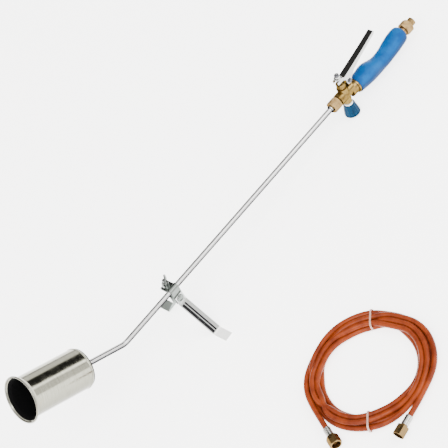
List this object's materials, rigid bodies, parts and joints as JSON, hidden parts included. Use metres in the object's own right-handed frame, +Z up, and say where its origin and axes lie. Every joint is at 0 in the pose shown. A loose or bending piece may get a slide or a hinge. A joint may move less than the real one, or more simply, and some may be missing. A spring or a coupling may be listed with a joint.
{
  "type": "propane torch",
  "caption": "Long-neck propane roofing torch with a polished bell, a squeeze lever over a moulded grip, a needle valve knob, a folding tube stand and a separate tied coil of gas hose.",
  "frame": {"origin": "on the ground under the middle of the torch, without its loose hose", "axes": "+X along the neck towards the handle, +Z up from the ground, +Y away from the coiled hose"},
  "size_m": [0.8575, 0.4868, 0.2167],
  "materials": {
    "stainless_bell": "polished",
    "hub_brass": "machined",
    "sooty_steel": "heat darkened",
    "nut_steel": "heat darkened",
    "jet_brass": "machined",
    "tube_steel": "bright plated",
    "ferrule_steel": "bright plated",
    "nut_brass": "machined",
    "valve_brass": "forged and machined",
    "seat_rubber": "matt",
    "bonnet_brass": "knurled",
    "stem_steel": "ground",
    "spring_steel": "drawn wire",
    "pilot_chrome": "bright plated",
    "locknut_black": "blacked",
    "lever_chrome": "bright plated",
    "pin_steel": "oiled",
    "clip_steel": "blacked",
    "packing_white": "matt",
    "gland_brass": "machined",
    "spindle_steel": "ground",
    "ring_white": "gloss",
    "knob_blue": "moulded",
    "grip_blue": "moulded, fine grain",
    "washer_steel": "satin",
    "handle_steel": "drawn",
    "inlet_brass": "machined",
    "clamp_steel": "zinc plated",
    "rivet_steel": "zinc plated",
    "bolt_steel": "zinc plated",
    "bolt_washer_steel": "zinc plated",
    "wing_steel": "zinc plated",
    "leg_steel": "zinc plated",
    "hose_rubber": "satin",
    "tie_plastic": "translucent",
    "hose_ferrule_steel": "crimped",
    "hose_tail_brass": "machined",
    "hose_nut_brass": "machined"
  },
  "bodies": {
    "torch": {"burner_bell": "stainless_bell", "burner_hub": "hub_brass", "flame_holder": "sooty_steel", "bell_nut": "nut_steel", "gas_jet": "jet_brass", "neck_tube": "tube_steel", "tube_ferrule": "ferrule_steel", "tube_nut": "nut_brass", "valve_body": "valve_brass", "valve_seat": "seat_rubber", "valve_bonnet": "bonnet_brass", "valve_spring": "spring_steel", "lever_pin": "pin_steel", "lever_clips": "clip_steel", "gland_packing": "packing_white", "gland_nut": "gland_brass", "grip": "grip_blue", "handle_washer": "washer_steel", "handle_tube": "handle_steel", "inlet_fitting": "inlet_brass"},
    "stem": {"valve_stem": "stem_steel", "pilot_locknut": "locknut_black"},
    "pilot": {"pilot_nut": "pilot_chrome"},
    "lever": {"lever": "lever_chrome"},
    "knob": {"needle_spindle": "spindle_steel", "knob_ring": "ring_white", "control_knob": "knob_blue"},
    "clamp": {"clamp_band": "clamp_steel", "leg_rivet": "rivet_steel", "clamp_bolt": "bolt_steel", "bolt_washer": "bolt_washer_steel"},
    "stand": {"stand_leg_near": "leg_steel", "stand_leg_far": "leg_steel"},
    "wing_nut": {"wing_nut": "wing_steel"},
    "hose": {"hose_coil": "hose_rubber", "hose_ties": "tie_plastic", "hose_lead_a": "hose_rubber", "hose_lead_b": "hose_rubber", "hose_ferrule_a": "hose_ferrule_steel", "hose_ferrule_b": "hose_ferrule_steel", "hose_tail_a": "hose_tail_brass", "hose_tail_b": "hose_tail_brass"},
    "hose_nut_a": {"hose_nut_a": "hose_nut_brass"},
    "hose_nut_b": {"hose_nut_b": "hose_nut_brass"}
  },
  "joints": [
    {"name": "lever_pull", "type": "hinge", "parent": "torch", "child": "lever", "pos_m": [0.27807, 0, 0.0606], "axis": [0, 1, 0], "range_deg": [0, 12], "stiffness_Nm_per_rad": 1.5, "springref_deg": -6.88},
    {"name": "stem_lift", "type": "slide", "parent": "torch", "child": "stem", "axis": [0.0864, 0, 0.9963], "range_m": [0, 0.0028], "deforming": ["valve_spring"]},
    {"name": "pilot_turn", "type": "hinge", "parent": "stem", "child": "pilot", "pos_m": [0.26527, 0, 0.08078], "axis": [0.0864, 0, 0.9963], "range_deg": [-180, 180]},
    {"name": "knob_turn", "type": "hinge", "parent": "torch", "child": "knob", "pos_m": [0.25956, 0, 0.01503], "axis": [-0.0864, 0, -0.9963], "range_deg": [0, 720]},
    {"name": "stand_slide", "type": "slide", "parent": "torch", "child": "clamp", "axis": [0.9963, 0, -0.0864], "range_m": [-0.08, 0.3]},
    {"name": "stand_fold", "type": "hinge", "parent": "clamp", "child": "stand", "pos_m": [-0.14271, 0, 0.06397], "axis": [0, 1, 0], "range_deg": [-90, 90]},
    {"name": "wing_nut_turn", "type": "hinge", "parent": "clamp", "child": "wing_nut", "pos_m": [-0.14081, 0.012, 0.08589], "axis": [0.0864, 0, 0.9963], "continuous": true},
    {"name": "hose_lift", "type": "slide", "parent": "torch", "child": "hose", "axis": [0, 0, 1], "range_m": [0, 0.3]},
    {"name": "hose_nut_a_turn", "type": "hinge", "parent": "hose", "child": "hose_nut_a", "pos_m": [-0.20857, -0.32954, 0.0096], "axis": [-0.4226, -0.9063, 0], "continuous": true},
    {"name": "hose_nut_b_turn", "type": "hinge", "parent": "hose", "child": "hose_nut_b", "pos_m": [-0.15396, -0.4061, 0.0096], "axis": [-0.9945, -0.1045, 0], "continuous": true}
  ],
  "couplings": [
    {"joint": "stem_lift", "follows": "lever_pull", "m_per_rad": 0.013}
  ]
}
